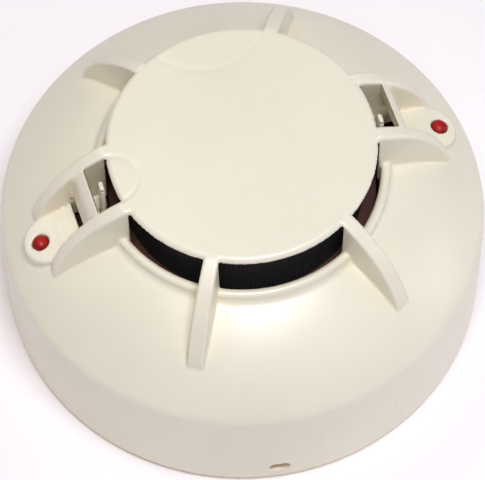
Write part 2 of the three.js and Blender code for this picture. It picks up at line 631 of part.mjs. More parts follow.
CONTACT_ANGLES.forEach((angle, i) => {
  addPart(head, `contact_blade_${i + 1}`, placedAt(contactBlade(), angle, WIPER_R), BRASS);
});
CONTACT_ANGLES.forEach((angle, i) => {
  addPart(base, `terminal_plate_${i + 1}`, placedAt(terminalPlate(), angle, TERMINAL_R), NICKEL);
  addPart(base, `clamp_washer_${i + 1}`, placedAt(clampWasher(), angle, TERMINAL_R), NICKEL);
  addPart(base, `terminal_screw_${i + 1}`, placedAt(terminalScrew(), angle, TERMINAL_R), STEEL);
});

// ---- Mounting base and lock finger ----------------------------------------------------------

const FINGER_PIVOT_ANGLE = 240;
const FINGER_R = 43.9;          // middle of the finger, from the detector's axis
const FINGER_SPAN = 21.4;       // degrees from the pivot to the finger's tip
const FINGER_Z0 = 3;
const FINGER_Z1 = 6.4;

function mountingBase() {
  let solid = turned([
    [0, 0], [BASE_R - 0.6, 0], [BASE_R, 0.6], [BASE_R, BASE_FLOOR], [BASE_RING_R1, BASE_FLOOR],
    [BASE_RING_R1, BASE_RING_Z], [BASE_RING_R0, BASE_RING_Z], [BASE_RING_R0, BASE_FLOOR], [0, BASE_FLOOR],
  ], INNER_SEGMENTS);
  const flangeZ = LUG_Z1 + 0.4;
  for (const angle of LUG_ANGLES) {
    const from = angle - LUG_HALF - 4;
    const flange = sector(BASE_RING_R1 - 0.4, FLANGE_R, from, angle + LUG_HALF + 1, flangeZ, BASE_RING_Z);
    const lockStop = sector(BASE_RING_R1 - 0.4, FLANGE_R, from, from + 3, BASE_FLOOR - 0.4, flangeZ + 0.4);
    const farStop = sector(BASE_RING_R1 - 0.4, FLANGE_R, angle + TWIST + LUG_HALF + 1,
      angle + TWIST + LUG_HALF + 4, BASE_FLOOR - 0.4, BASE_RING_Z);
    solid = solid.add(joined([flange, lockStop, farStop]));
  }
  const stand = block(-4.6, 4.4, -4.8, 4.8, BASE_FLOOR - 0.4, STAND_Z);
  const screwHole = rod(TERMINAL_HOLE, 0.8, STAND_Z + 1);
  for (const angle of CONTACT_ANGLES) {
    solid = solid.add(placedAt(stand, angle, TERMINAL_R)).subtract(placedAt(screwHole, angle, TERMINAL_R));
  }
  const cableCollar = ring(CABLE_HOLE_R, CABLE_HOLE_R + 1.6, BASE_FLOOR - 0.4, BASE_FLOOR + 2, 32);
  solid = solid.add(cableCollar).subtract(rod(CABLE_HOLE_R, -1, 8, 32));
  for (const side of [1, -1]) {
    solid = solid.subtract(slot(side * FIXING_HALF, 0, FIXING_LENGTH, FIXING_W / 2, -1, BASE_FLOOR + 1));
  }
  const fingerRoom = sector(BASE_RING_R0 - 1, FLANGE_R + 1, FINGER_PIVOT_ANGLE - 4,
    FINGER_PIVOT_ANGLE + FINGER_SPAN + 1.2, BASE_FLOOR, FINGER_Z1 + 0.3);
  const pin = rod(0.9, BASE_FLOOR - 0.5, FINGER_Z1 + 0.2, 12);
  return solid.subtract(fingerRoom).add(placedAt(pin, FINGER_PIVOT_ANGLE, FINGER_R));
}

// A short lever that the removal tool pushes inwards through the hole in the skirt.
function lockFinger() {
  const end = FINGER_PIVOT_ANGLE + FINGER_SPAN;
  const lever = sector(FINGER_R - 0.7, FINGER_R + 0.7, FINGER_PIVOT_ANGLE, end, FINGER_Z0, FINGER_Z1);
  const tip = sector(FINGER_R - 0.7, FINGER_R + 1.3, end - 3, end, FINGER_Z0, FINGER_Z1);
  const eye = placedAt(rod(1.6, FINGER_Z0, FINGER_Z1), FINGER_PIVOT_ANGLE, FINGER_R);
  const bore = placedAt(rod(1.1, 0, 12, 12), FINGER_PIVOT_ANGLE, FINGER_R);
  return joined([lever, tip, eye]).subtract(bore);
}

addPart(base, 'mounting_base', mountingBase(), BASE_IVORY);
addPart(base, 'lock_finger', lockFinger(), BASE_IVORY);

export default detector;
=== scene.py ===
import math

import bpy
import numpy as np
from mathutils import Matrix, Vector


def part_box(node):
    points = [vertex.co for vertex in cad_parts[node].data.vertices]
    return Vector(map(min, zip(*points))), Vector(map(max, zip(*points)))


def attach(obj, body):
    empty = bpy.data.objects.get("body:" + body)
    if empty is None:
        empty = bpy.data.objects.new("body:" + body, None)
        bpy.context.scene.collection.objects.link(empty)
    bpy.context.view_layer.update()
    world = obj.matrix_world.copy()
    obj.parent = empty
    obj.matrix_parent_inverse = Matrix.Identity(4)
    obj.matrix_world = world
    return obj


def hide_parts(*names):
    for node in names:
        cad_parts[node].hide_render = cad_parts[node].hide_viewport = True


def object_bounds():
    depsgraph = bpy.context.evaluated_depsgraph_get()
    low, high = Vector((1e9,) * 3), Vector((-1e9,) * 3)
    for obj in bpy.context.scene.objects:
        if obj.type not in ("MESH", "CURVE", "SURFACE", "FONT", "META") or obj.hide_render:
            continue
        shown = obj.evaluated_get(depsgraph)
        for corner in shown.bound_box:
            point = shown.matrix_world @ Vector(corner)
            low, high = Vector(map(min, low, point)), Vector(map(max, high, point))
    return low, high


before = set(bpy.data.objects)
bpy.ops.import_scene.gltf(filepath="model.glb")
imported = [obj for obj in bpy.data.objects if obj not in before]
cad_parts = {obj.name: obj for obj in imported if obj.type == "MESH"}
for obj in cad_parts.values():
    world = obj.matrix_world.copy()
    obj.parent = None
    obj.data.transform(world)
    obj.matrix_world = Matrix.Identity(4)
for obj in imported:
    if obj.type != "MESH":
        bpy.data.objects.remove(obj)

cad_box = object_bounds()

# Ceiling heat detector. Shapes are worked out in millimetres, in the CAD frame, and become metres when
# their mesh is made. +Z points out of the ceiling, and the two indicator arms lie along +X and -X.
MM = 0.001

# ---- Driving dimensions, in millimetres -----------------------------------------------------

housing_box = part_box("front_housing")
OUTER_R = housing_box[1].x / MM
TOP_Z = housing_box[1].z / MM
RIM_Z = housing_box[0].z / MM
WALL = 2.2
SKIRT_TOP_Z = 25.2
SKIRT_TOP_R = OUTER_R - 0.15
SHOULDER_R = 4.5
SHOULDER_TURN = 40
DOME_TOP_R = 31
DOME_TOP_Z = 40.6
LIP_R0 = 27.9
LIP_R1 = 29.9
LIP_TOP_Z = 43
VALLEY_R = 1.6                  # hollow between the lip and the dome
COLLAR_Z0 = 36.8
CAP_R = 27.15
CAP_T = 2
CAP_EDGE = 1.2
CAP_UNDER = 0.4                 # rounding of its lower edge
CAP_CROWN = 0.7                 # rise of the cap's middle over its rim
ARM_ARC_R = 5.3                 # groove on the cap round the end of the -X arm
ARM_ARC_WIDTH = 0.5
ARM_ARC_DEPTH = 0.2
BACK_ARC_CENTRE = (1.2, 30.4)   # groove across the back of the cap
BACK_ARC_R = 12.8
BACK_ARC_WIDTH = 0.7
BACK_ARC_DEPTH = 0.1

FIN_ANGLE = 59                  # the four fins mirror this one in X and in Y
FIN_R0 = 27
FIN_R1 = 42.3
FIN_TOP_Z = 52.2
FIN_END_Z = 35.1
FIN_FOOT_Z = 32.2
FIN_HEEL = (4, 33.4)            # how far in from its outer end its underside bends, and at what height
FIN_ROOT = 2.5                  # how far it reaches in behind FIN_R0
FIN_SAGITTA = 2.9
FIN_INNER_R = 27.4
FIN_HALF_TOP = 1.5              # half thickness at the cap
FIN_DRAFT = 0.015               # half thickness gained for each millimetre down
RIB_INNER = 5.15                # inner face of an arm's rib
RIB_OUTER = 8.3
RIB_DRAFT = 0.07
RIB_TAPER = 0.085               # thickness lost for each millimetre outwards
RIB_FROM = 29
RIB_DRAFT_Z = 46                # the draft starts below this height
RIB_DRAFT_RUN = 14              # and runs for this far
WINDOW_R0 = 25.9
WINDOW_R1 = 31.3
BRIDGE_R1 = 33.6
BRIDGE_TOP_Z = 50.2
BRIDGE_LOW_Z = 45.6
BRIDGE_UNDER = (46.5, 40.2)     # its underside, at the window and at the slit
BRIDGE_SLANT = 0.45             # how far its outer face leans out towards the pad
BRIDGE_SAGITTA = 0.6
INTO_RIB = 0.6                  # how far the bridge and the pad's bed reach into the ribs
WINDOW_Z = (38, 52)
SLIT_R1 = 34.6
SLIT_TOP_Z = 40
LEDGE_Z = 38                    # ledge that each thermistor stands through
LEDGE_R1 = 30.2
WELL_Z = 33.5
WELL_TOP_Z = 46
WELL_WALL = 1.1
SLEEVE_HOLE_REACH = 0.65        # half the straight part of the sleeve's hole in the ledge
SLEEVE_HOLE_R = 0.7
THERMISTOR = (28.9, -1.4)       # at the +X arm
PAD_END_R = 46.1
PAD_LAMP_Z = 35.5
PAD_SLOPE = 0.33
PAD_WALL = 1.8
PAD_SKIRT = 5                   # depth of the wall round its edge
LAMP_R = 42.7
LAMP_HOLE = 1.74
LAMP_HOLE_Z = 26
LAMP_ROOM = 2.9
LAMP_ROOM_Z = (20, 31.2)
BOSS_R = 42.5
BOSS_ANGLES = (94, 214, 334)
BOSS_Z0 = 12.8
BOSS_Z1 = 30.2
BOSS_SIZE = 2.8
BOSS_BORE = 1.35
BOSS_BORE_Z = 26
RELEASE_ANGLE = 260.4           # hole over the lock finger's tip
RELEASE_Z = 5
RELEASE_REACH = 0.8             # half the straight part of the hole
RELEASE_R = 1.3
RELEASE_DEPTH = 6
MARK_ANGLE = 270.8
MARK_Z0 = 7.5
MARK_Z1 = 18
MARK_PROUD = 0.12
MARK_WIDTH = 0.5
DIMPLE_ANGLE = 290.4
DIMPLE_Z = 11
DIMPLE_WIDTH = 0.6
DIMPLE_DEPTH = 0.35

# Half widths, as (along X, along Y), of the slot-shaped sections at a thermistor.
BEAD_HALF = (0.45, 1.05)
SLEEVE_OUTER = (0.5, 1.15)
SLEEVE_INNER = (0.3, 0.88)
SLEEVE_TOP = (0.42, 1.07)
SLEEVE_EDGE = 0.12
SCREEN_T = 0.7

HOUSING_PITCH = 0.5             # grid spacing of the meshes made from fields
BASE_PITCH = 0.45

# ---- Distance fields ------------------------------------------------------------------------
# A field is negative inside the solid and gives roughly the distance to its surface.


def join(a, b, fillet=0.0):
    if not fillet:
        return np.minimum(a, b)
    h = np.clip(0.5 + 0.5 * (b - a) / fillet, 0, 1)
    return b * (1 - h) + a * h - fillet * h * (1 - h)


def cut(a, b, fillet=0.0):
    return -join(-a, b, fillet)


def extruded(side, across, rounding):
    """The solid inside both fields, with its edges rounded."""
    u = side + rounding
    v = across + rounding
    return np.minimum(np.maximum(u, v), 0) + np.hypot(np.maximum(u, 0), np.maximum(v, 0)) - rounding


def arc(cx, cy, radius, start, end, steps):
    turns = np.radians(np.linspace(start, end, steps + 1))
    return [(cx + radius * math.cos(a), cy + radius * math.sin(a)) for a in turns]


def bulge(first, last, sagitta, steps):
    """The arc between two points that bulges by sagitta to the left of the way there."""
    (x0, y0), (x1, y1) = first, last
    chord = math.hypot(x1 - x0, y1 - y0)
    radius = chord * chord / (8 * sagitta) + sagitta / 2
    cx = (x0 + x1) / 2 - (y1 - y0) / chord * (sagitta - radius)
    cy = (y0 + y1) / 2 + (x1 - x0) / chord * (sagitta - radius)
    start = math.degrees(math.atan2(y0 - cy, x0 - cx))
    end = math.degrees(math.atan2(y1 - cy, x1 - cx))
    return arc(cx, cy, radius, start, start + (end - start + 180) % 360 - 180, steps)


class Outline:
    """The field of a closed outline in a plane, kept in a fine table that is read between its points."""

    STEP = 0.1

    def __init__(self, points, low, high):
        self.low = low
        us = np.arange(low[0], high[0] + self.STEP, self.STEP)
        vs = np.arange(low[1], high[1] + self.STEP, self.STEP)
        u, v = np.meshgrid(us, vs, indexing="ij")
        nearest = np.full(u.shape, 1e9)
        inside = np.zeros(u.shape, bool)
        for (x0, y0), (x1, y1) in zip(points, points[1:] + points[:1]):
            ex, ey = x1 - x0, y1 - y0
            length = ex * ex + ey * ey
            if length < 1e-12:
                continue
            t = np.clip(((u - x0) * ex + (v - y0) * ey) / length, 0, 1)
            nearest = np.minimum(nearest, (u - x0 - ex * t) ** 2 + (v - y0 - ey * t) ** 2)
            if y0 != y1:
                inside ^= ((y0 > v) != (y1 > v)) & (u < ex * (v - y0) / ey + x0)
        self.table = np.where(inside, -1, 1) * np.sqrt(nearest)

    def __call__(self, u, v):
        shape = self.table.shape
        a = np.clip((u - self.low[0]) / self.STEP, 0, shape[0] - 1.001)
        b = np.clip((v - self.low[1]) / self.STEP, 0, shape[1] - 1.001)
        i, j = a.astype(int), b.astype(int)
        a, b = a - i, b - j
        t = self.table
        low = t[i, j] * (1 - b) + t[i, j + 1] * b
        high = t[i + 1, j] * (1 - b) + t[i + 1, j + 1] * b
        return low * (1 - a) + high * a


def dome_circle():
    """Centre, radius and turn of the dome's arc, which leaves the shoulder's arc without a kink."""
    turn = math.radians(SHOULDER_TURN)
    sx = SKIRT_TOP_R - SHOULDER_R + SHOULDER_R * math.cos(turn)
    sz = SKIRT_TOP_Z + SHOULDER_R * math.sin(turn)
    chord = math.hypot(DOME_TOP_R - sx, DOME_TOP_Z - sz)
    fall = math.degrees(math.atan2(DOME_TOP_Z - sz, sx - DOME_TOP_R))
    half = 90 - SHOULDER_TURN - fall
    radius = chord / 2 / math.sin(math.radians(half))
    return (sx - radius * math.cos(turn), sz - radius * math.sin(turn)), radius, 2 * half


def dome_outline(inset):
    """The shoulder's arc, then the dome's arc, both set in by inset."""
    (ox, oz), radius, swept = dome_circle()
    shoulder = arc(SKIRT_TOP_R - SHOULDER_R, SKIRT_TOP_Z, SHOULDER_R - inset, 0, SHOULDER_TURN, 16)
    dome = arc(ox, oz, radius - inset, SHOULDER_TURN, SHOULDER_TURN + swept, 60)
    return shoulder + dome[1:]


def valley_and_lip():
    """The hollow that is tangent to the dome and to the lip, then the lip's rounded top."""
    (ox, oz), dome_radius, _ = dome_circle()
    half = (LIP_R1 - LIP_R0) / 2
    lip_x, lip_z = LIP_R0 + half, LIP_TOP_Z - half
    reach, span = half + VALLEY_R, math.hypot(lip_x - ox, lip_z - oz)
    along = (span * span + reach * reach - (dome_radius + VALLEY_R) ** 2) / (2 * span)
    aside = math.sqrt(reach * reach - along * along)
    ux, uz = (ox - lip_x) / span, (oz - lip_z) / span
    cx, cz = lip_x + along * ux - aside * uz, lip_z + along * uz + aside * ux
    to_dome = math.degrees(math.atan2(oz - cz, ox - cx)) % 360
    to_lip = math.degrees(math.atan2(lip_z - cz, lip_x - cx)) % 360
    return arc(cx, cz, VALLEY_R, to_dome, to_lip, 16) + arc(lip_x, lip_z, half, to_lip - 180, 180, 20)[1:]


def shell_outline():
    rim = arc(OUTER_R - 0.8, RIM_Z + 0.8, 0.8, -90, 0, 6)
    return (
        [(OUTER_R - WALL, RIM_Z)] + rim + dome_outline(0) + valley_and_lip()
        + [(LIP_R0, COLLAR_Z0), (LIP_R1 + 0.1, COLLAR_Z0)] + dome_outline(WALL)[::-1]
    )


def cap_outline():
    flat = CAP_R - CAP_EDGE
    edge = arc(flat, TOP_Z - CAP_CROWN - CAP_EDGE, CAP_EDGE, 0, 90, 16)
    crown = [(flat * part, TOP_Z - CAP_CROWN * part * part) for part in np.linspace(1, 0, 41)[1:]]
    under = arc(CAP_R - CAP_UNDER, TOP_Z - CAP_T + CAP_UNDER, CAP_UNDER, -90, 0, 6)
    return [(-5, TOP_Z - CAP_T)] + under + edge + crown + [(-5, TOP_Z)]


def fin_outline():
    crest = bulge((FIN_R0, FIN_TOP_Z), (FIN_R1, FIN_END_Z), FIN_SAGITTA, 40)
    root = FIN_R0 - FIN_ROOT
    under = [(root, COLLAR_Z0 + 0.6), (FIN_R1 - FIN_HEEL[0], FIN_HEEL[1]), (FIN_R1, FIN_FOOT_Z)]
    return [(root, TOP_Z - CAP_T)] + under + crest[::-1] + [(root, FIN_TOP_Z)]


def bridge_outline():
    crown = bulge((WINDOW_R1, BRIDGE_TOP_Z), (BRIDGE_R1, BRIDGE_LOW_Z), BRIDGE_SAGITTA, 12)
    return [(WINDOW_R1, BRIDGE_UNDER[0]), (BRIDGE_R1 + BRIDGE_SLANT, BRIDGE_UNDER[1])] + crown[::-1]


shell_side = Outline(shell_outline(), (0, -2), (OUTER_R + 3, TOP_Z + 2))
cap_side = Outline(cap_outline(), (0, TOP_Z - 18), (OUTER_R + 3, TOP_Z + 2))
fin_side = Outline(fin_outline(), (15, 20), (OUTER_R + 3, TOP_Z + 2))
bridge_side = Outline(bridge_outline(), (15, 20), (OUTER_R + 3, TOP_Z + 2))


def ridge(distance, width):
    """1 on a line and falling smoothly to 0 beside it."""
    return np.exp(-((distance / width) ** 2))


def cap_field(x, y, z, r):
    """The cap, with two shallow curved grooves moulded into its top."""
    cap = cap_side(r, z)
    on_top = np.clip((z - TOP_Z + 1.5) / 0.6, 0, 1)
    near_arm = ridge(np.hypot(x + CAP_R, y) - ARM_ARC_R, ARM_ARC_WIDTH)
    back_x, back_y = BACK_ARC_CENTRE
    at_back = ridge(np.hypot(x - back_x, y - back_y) - BACK_ARC_R, BACK_ARC_WIDTH)
    return cap + on_top * (ARM_ARC_DEPTH * near_arm + BACK_ARC_DEPTH * at_back)


def pad_plan(s, t):
    """The arm's round-ended outline in plan."""
    centre = PAD_END_R - RIB_INNER
    return np.hypot(np.maximum(s - centre, 0), t) - RIB_INNER


def well_walls(s, t, z):
    """The walls round the lower part of an arm's window."""
    middle, half = (LIP_R0 + SLIT_R1 + WELL_WALL) / 2, (SLIT_R1 + WELL_WALL - LIP_R0) / 2
    side = np.maximum(np.abs(s - middle) - half, t - RIB_INNER - WELL_WALL)
    return np.maximum(side, np.abs(z - (WELL_Z + LEDGE_Z) / 2) - (LEDGE_Z - WELL_Z) / 2)


def well(s, t, signed_t, z):
    """The opening inside those walls: wide above the ledge, then past it, and the sleeve's hole in it."""
    wide = np.maximum(np.abs(s - (WINDOW_R0 + SLIT_R1) / 2) - (SLIT_R1 - WINDOW_R0) / 2, LEDGE_Z - z)
    deep = np.abs(s - (LEDGE_R1 + SLIT_R1) / 2) - (SLIT_R1 - LEDGE_R1) / 2
    across = np.abs(signed_t - THERMISTOR[1])
    sleeve = np.hypot(s - THERMISTOR[0], np.maximum(across - SLEEVE_HOLE_REACH, 0)) - SLEEVE_HOLE_R
    opening = np.maximum(np.minimum(wide, deep), t - RIB_INNER)
    return np.maximum(np.minimum(opening, sleeve), z - WELL_TOP_Z)


def skirt_details(solid, x, y, z, r):
    """The raised index mark, the dimple, the hole over the lock finger's tip, and the screw bosses."""
    angle = np.degrees(np.arctan2(y, x)) % 360

    def along(at):
        return np.radians(angle - at) * r

    outside = np.clip((r - OUTER_R + 1.2) / 0.6, 0, 1)
    mark_end = np.clip(np.minimum(z - MARK_Z0, MARK_Z1 - z) / 0.6 + 0.5, 0, 1)
    solid = solid - MARK_PROUD * outside * mark_end * ridge(along(MARK_ANGLE), MARK_WIDTH)
    dimple = ridge(np.hypot(along(DIMPLE_ANGLE), z - DIMPLE_Z), DIMPLE_WIDTH)
    solid = solid + DIMPLE_DEPTH * outside * dimple
    past = np.maximum(np.abs(along(RELEASE_ANGLE)) - RELEASE_REACH, 0)
    release = np.hypot(past, z - RELEASE_Z) - RELEASE_R
    solid = cut(solid, np.maximum(release, OUTER_R - RELEASE_DEPTH - r), 0.3)
    for at in BOSS_ANGLES:
        turn = math.radians(at)
        reach = np.hypot(x - BOSS_R * math.cos(turn), y - BOSS_R * math.sin(turn))
        post = np.maximum(reach - BOSS_SIZE, np.maximum(BOSS_Z0 - z, z - BOSS_Z1))
        solid = cut(join(solid, post, 0.4), np.maximum(reach - BOSS_BORE, z - BOSS_BORE_Z))
    return solid


def housing_field(x, y, z):
    r = np.hypot(x, y)
    s, t = np.abs(x), np.abs(y)
    pad_z = PAD_LAMP_Z - PAD_SLOPE * (s - LAMP_R)
    plan = pad_plan(s, t)
    lamp = np.hypot(s - LAMP_R, t)

    shell = shell_side(r, z)
    window = np.maximum(np.abs(s - (WINDOW_R1 + WINDOW_R0) / 2) - (WINDOW_R1 - WINDOW_R0) / 2, t - RIB_INNER)
    above_pad = np.maximum(np.maximum(plan, pad_z - z), BRIDGE_R1 - s)
    shell = cut(join(shell, well_walls(s, t, z)), well(s, t, y * np.sign(x), z), 0.15)
    shell = cut(shell, above_pad)

    bridge = extruded(bridge_side(s, z), t - RIB_INNER - INTO_RIB, 0.3)
    top = np.maximum(z - pad_z, pad_z - WALL - z)
    skirted = np.maximum(np.maximum(z - pad_z, pad_z - PAD_SKIRT - z), -plan - PAD_WALL)
    pad = extruded(plan, np.minimum(top, skirted), 0.35)
    bed = np.maximum(np.maximum(t - RIB_INNER - INTO_RIB, s - PAD_END_R + RIB_INNER), top)
    pad = np.maximum(np.minimum(pad, bed), SLIT_R1 - s)

    drafted = RIB_DRAFT * np.clip(RIB_DRAFT_Z - z, 0, RIB_DRAFT_RUN)
    outer = RIB_OUTER - RIB_TAPER * np.maximum(s - RIB_FROM, 0) + drafted
    rib_across = np.abs(t - (RIB_INNER + outer) / 2) - (outer - RIB_INNER) / 2
    rib = extruded(fin_side(s, z), rib_across, 0.8)
    turn = math.radians(FIN_ANGLE)
    fin_s = s * math.cos(turn) + t * math.sin(turn)
    fin_t = t * math.cos(turn) - s * math.sin(turn)
    fin_half = FIN_HALF_TOP + FIN_DRAFT * (TOP_Z - z)
    fin = extruded(fin_side(fin_s, z), np.abs(fin_t) - fin_half, 0.5)
    under_cap = np.maximum(r - FIN_INNER_R, z - (TOP_Z - CAP_T))
    walls = cut(join(rib, fin), under_cap, 0.2)

    solid = join(join(shell, pad, 0.25), walls, 0.5)
    slit = np.maximum(np.abs(s - (BRIDGE_R1 + SLIT_R1) / 2) - (SLIT_R1 - BRIDGE_R1) / 2, t - RIB_INNER)
    solid = cut(solid, np.maximum(slit, z - SLIT_TOP_Z), 0.25)
    low, high = WINDOW_Z
    beyond = np.abs(z - (low + high) / 2) - (high - low) / 2
    solid = cut(solid, np.maximum(np.maximum(window, beyond), FIN_INNER_R - r), 0.25)
    solid = join(solid, bridge, 0.35)
    solid = join(solid, cap_field(x, y, z, r))
    solid = cut(solid, np.maximum(lamp - LAMP_HOLE, LAMP_HOLE_Z - z), 0.35)
    low, high = LAMP_ROOM_Z
    solid = cut(solid, np.maximum(lamp - LAMP_ROOM, np.maximum(z - high, low - z)))
    return skirt_details(solid, x, y, z, r)


# ---- From a field to a mesh -----------------------------------------------------------------

EDGES = [(a, a ^ bit) for bit in (1, 2, 4) for a in range(8) if not a & bit]


def gradient(field, p, step=0.06):
    slopes = []
    for axis in range(3):
        shift = np.zeros(3)
        shift[axis] = step
        ahead, behind = p + shift, p - shift
        slopes.append((field(*ahead.T) - field(*behind.T)) / (2 * step))
    return np.stack(slopes, 1)


def sampled(field, axes):
    values = np.empty([len(a) for a in axes], np.float32)
    y, z = np.meshgrid(axes[1], axes[2], indexing="ij")
    for i, x in enumerate(axes[0]):
        values[i] = field(np.full(y.shape, x), y, z)
    return values


def surface(field, low, high, pitch):
    """Points and quads of the field's surface: one point in each grid cell that the surface crosses."""
    axes = [np.arange(low[k], high[k] + pitch, pitch) for k in range(3)]
    values = sampled(field, axes)
    inside = values < 0
    count = np.zeros([n - 1 for n in values.shape], np.int8)
    nx, ny, nz = count.shape
    corners = [(c & 1, c >> 1 & 1, c >> 2 & 1) for c in range(8)]
    for i, j, k in corners:
        count += inside[i:nx + i, j:ny + j, k:nz + k]
    cells = np.argwhere((count > 0) & (count < 8))
    total = np.zeros((len(cells), 3))
    crossings = np.zeros(len(cells))
    for a, b in EDGES:
        pa, pb = np.array(corners[a]), np.array(corners[b])
        va, vb = values[tuple((cells + pa).T)], values[tuple((cells + pb).T)]
        crossed = (va < 0) != (vb < 0)
        part = np.where(crossed, va / np.where(crossed, va - vb, 1), 0)[:, None]
        total += (pa + (pb - pa) * part) * crossed[:, None]
        crossings += crossed
    points = np.array(low) + pitch * (cells + total / crossings[:, None])
    index = np.full(count.shape, -1, np.int64)
    index[tuple(cells.T)] = np.arange(len(cells))

    quads = []
    for axis in range(3):
        u, v = (axis + 1) % 3, (axis + 2) % 3
        near = [slice(None)] * 3
        far = [slice(None)] * 3
        near[axis], far[axis] = slice(0, -1), slice(1, None)
        first, second = inside[tuple(near)], inside[tuple(far)]
        spots = np.argwhere(first != second)
        spots = spots[(spots[:, u] > 0) & (spots[:, v] > 0)]
        spots = spots[(spots[:, u] < values.shape[u] - 1) & (spots[:, v] < values.shape[v] - 1)]
        ring = []
        for du, dv in ((-1, -1), (0, -1), (0, 0), (-1, 0)):
            cell = spots.copy()
            cell[:, u] += du
            cell[:, v] += dv
            ring.append(index[tuple(cell.T)])
        quad = np.stack(ring, 1)
        flip = ~first[tuple(spots.T)]
        quad[flip] = quad[flip][:, ::-1]
        quads.append(quad)

    for _ in range(3):
        slope = gradient(field, points)
        size = np.maximum((slope ** 2).sum(1), 0.1)[:, None]
        move = -field(*points.T)[:, None] * slope / size
        points = points + np.clip(move, -pitch / 3, pitch / 3)
    normals = gradient(field, points, 0.12)
    normals /= np.maximum(np.linalg.norm(normals, axis=1), 1e-6)[:, None]
    return points, np.concatenate(quads), normals


def mesh_object(name, points, faces, normals=None):
    """An object made from points in millimetres."""
    mesh = bpy.data.meshes.new(name)
    mesh.from_pydata((np.asarray(points) * MM).tolist(), [], [list(map(int, f)) for f in faces])
    mesh.validate()
    mesh.shade_smooth()
    if normals is not None:
        mesh.normals_split_custom_set_from_vertices(normals.tolist())
    piece = bpy.data.objects.new(name, mesh)
    bpy.context.scene.collection.objects.link(piece)
    return piece


# ---- Meshes built directly ------------------------------------------------------------------


def lathe(points, segments=64, centre=(0, 0)):
    """Points and faces of a profile [(r, z), ...] that starts and ends on the axis."""
    made = [(centre[0], centre[1], points[0][1])]
    for r, z in points[1:-1]:
        made += [(centre[0] + px, centre[1] + py, z) for px, py in arc(0, 0, r, 0, 360, segments)[:-1]]
    made.append((centre[0], centre[1], points[-1][1]))
    faces = []
    rows = len(points) - 2
    for i in range(segments):
        j = (i + 1) % segments
        faces.append((0, 1 + j, 1 + i))
        for row in range(rows - 1):
            a = 1 + row * segments
            faces.append((a + i, a + j, a + segments + j, a + segments + i))
        last = 1 + (rows - 1) * segments
        faces.append((last + i, last + j, len(made) - 1))
    return made, faces


def prism(outline, z0, z1, soften=0.0):
    """Points and faces of an outline in plan, raised from z0 to z1, with its ends softened."""
    middle = np.mean(outline, 0)
    levels = [(z0, 0), (z1, 0)]
    if soften:
        levels = [(z0, soften), (z0 + soften, 0), (z1 - soften, 0), (z1, soften)]
    made = []
    for z, inset in levels:
        for p in np.asarray(outline, float):
            out = p - middle
            made.append((*(p - out / np.linalg.norm(out) * inset), z))
    n = len(outline)
    faces = [tuple(range(n))[::-1], tuple(range(n * (len(levels) - 1), n * len(levels)))]
    for level in range(len(levels) - 1):
        a = level * n
        faces += [(a + i, a + (i + 1) % n, a + n + (i + 1) % n, a + n + i) for i in range(n)]
    return made, faces


def together(*shapes):
    made, faces = [], []
    for points, polygons in shapes:
        faces += [tuple(len(made) + i for i in f) for f in polygons]
        made += list(points)
    return made, faces


def at_arm(shape, side):
    """The same shape at the +X arm (side 1) or, turned by half a turn, at the -X arm (side -1)."""
    points, faces = shape
    return [(side * x, side * y, z) for x, y, z in points], faces


def stadium(cx, cy, half_x, half_y, steps=12):
    """A slot-shaped outline that is longer along Y."""
    reach = half_y - half_x
    return arc(cx, cy + reach, half_x, 0, 180, steps) + arc(cx, cy - reach, half_x, 180, 360, steps)


def lead(x, y, z0, z1, radius=0.25):
    return prism(arc(x, y, radius, 0, 330, 11), z0, z1, 0.06)


# ---- Materials ------------------------------------------------------------------------------


def tone(color, factor):
    return (*[min(1, c * factor) for c in color], 1)


class Nodes:
    """A short way to write a material's nodes."""

    def __init__(self, name):
        self.material = bpy.data.materials.new(name)
        self.material.use_nodes = True
        self.tree = self.material.node_tree
        self.shader = self.tree.nodes["Principled BSDF"]
        self.place = self.add("ShaderNodeTexCoord").outputs["Object"]

    def add(self, kind, **values):
        node = self.tree.nodes.new(kind)
        for key, value in values.items():
            setattr(node, key, value)
        return node

    def link(self, source, target):
        self.tree.links.new(source, target)

    def noise(self, scale, detail=3, roughness=0.55):
        node = self.add("ShaderNodeTexNoise")
        node.inputs["Scale"].default_value = scale
        node.inputs["Detail"].default_value = detail
        node.inputs["Roughness"].default_value = roughness
        self.link(self.place, node.inputs["Vector"])
        return node.outputs["Fac"]

    def spread(self, source, low, high, start=0.3, end=0.7):
        node = self.add("ShaderNodeMapRange")
        node.inputs["From Min"].default_value = start
        node.inputs["From Max"].default_value = end
        node.inputs["To Min"].default_value = low
        node.inputs["To Max"].default_value = high
        self.link(source, node.inputs["Value"])
        return node.outputs["Result"]

    def mix(self, factor, first, second):
        node = self.add("ShaderNodeMix", data_type="RGBA")
        self.link(factor, node.inputs["Factor"])
        for socket, value in ((node.inputs[6], first), (node.inputs[7], second)):
            if isinstance(value, tuple):
                socket.default_value = value
            else:
                self.link(value, socket)
        return node.outputs[2]

    def bump(self, height, strength, distance, under=None):
        node = self.add("ShaderNodeBump")
        node.inputs["Strength"].default_value = strength
        node.inputs["Distance"].default_value = distance
        self.link(height, node.inputs["Height"])
        if under is not None:
            self.link(under, node.inputs["Normal"])
        return node.outputs["Normal"]


